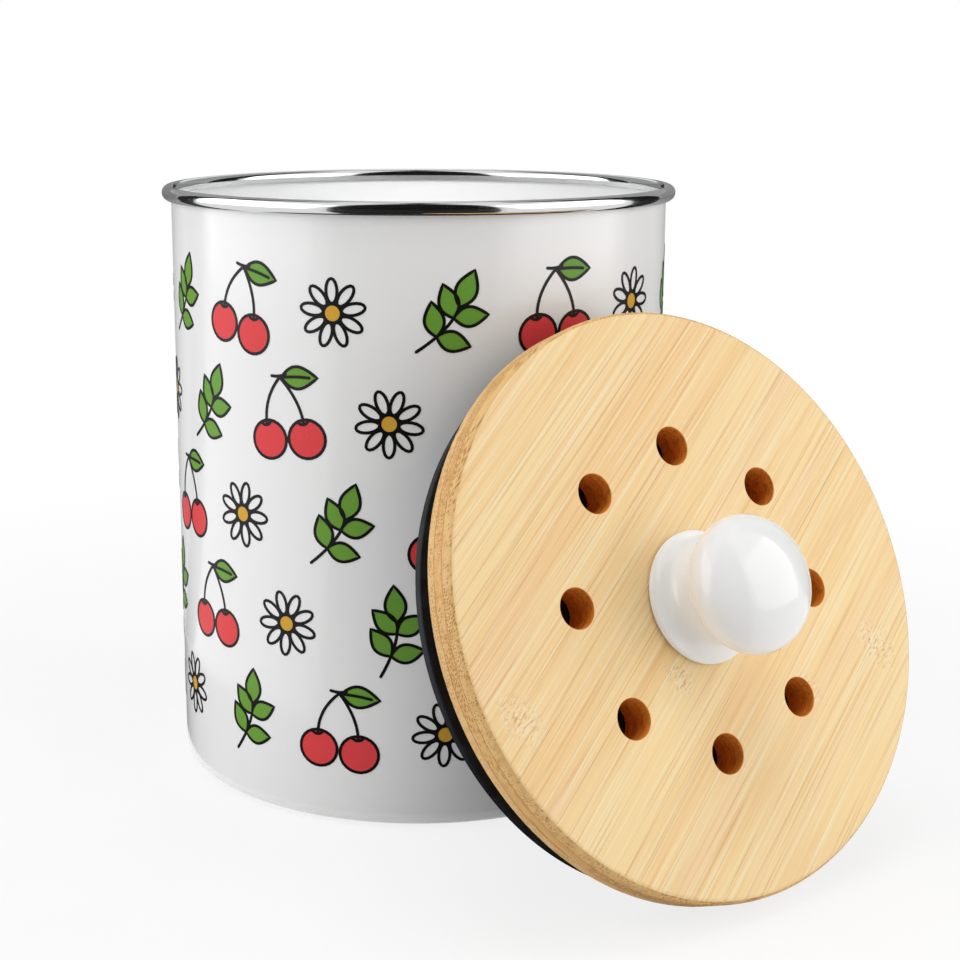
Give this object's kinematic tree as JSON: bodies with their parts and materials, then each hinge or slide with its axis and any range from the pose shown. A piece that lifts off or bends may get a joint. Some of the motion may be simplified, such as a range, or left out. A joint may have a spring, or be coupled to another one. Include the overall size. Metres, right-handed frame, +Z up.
{
  "type": "compost caddy",
  "caption": "Round enamelled steel canister with a rolled rim, and its vented bamboo lid with knob, seal and charcoal filter leaning against it.",
  "frame": {"origin": "middle of the canister's base, on the ground", "axes": "+Z up along the canister's axis; the lid leans on the canister from -Y, with its knob to -Y and up"},
  "size_m": [0.187, 0.2791, 0.212],
  "materials": {
    "enamel": "glossy white vitreous enamel on steel",
    "rim_steel": "polished stainless steel",
    "bamboo": "sanded and oiled laminated bamboo",
    "porcelain": "white glaze",
    "brass": "turned",
    "fixing_steel": "zinc plated",
    "housing_plastic": "moulded black polypropylene",
    "silicone": "moulded black silicone",
    "charcoal_felt": "needled charcoal felt"
  },
  "bodies": {
    "canister": {"canister_shell": "enamel", "rim_band": "rim_steel"},
    "lid": {"lid_upper_ply": "bamboo", "lid_core_ply": "bamboo", "lid_lower_ply": "bamboo", "knob": "porcelain", "knob_insert": "brass", "knob_washer": "fixing_steel", "knob_screw": "fixing_steel", "filter_housing": "housing_plastic", "housing_screw_1": "fixing_steel", "housing_screw_2": "fixing_steel", "housing_screw_3": "fixing_steel", "housing_screw_4": "fixing_steel", "seal_ring": "silicone", "filter_pad": "charcoal_felt"},
    "cover": {"filter_cover": "housing_plastic"}
  },
  "joints": [
    {"name": "lid_lift", "type": "slide", "parent": "canister", "child": "lid", "axis": [0, -0.9135, 0.4067], "range_m": [0, 0.2]},
    {"name": "filter_cover_twist", "type": "hinge", "parent": "lid", "child": "cover", "pos_m": [0, -0.13854, 0.08705], "axis": [0, 0.9135, -0.4067], "range_deg": [0, 40]}
  ]
}
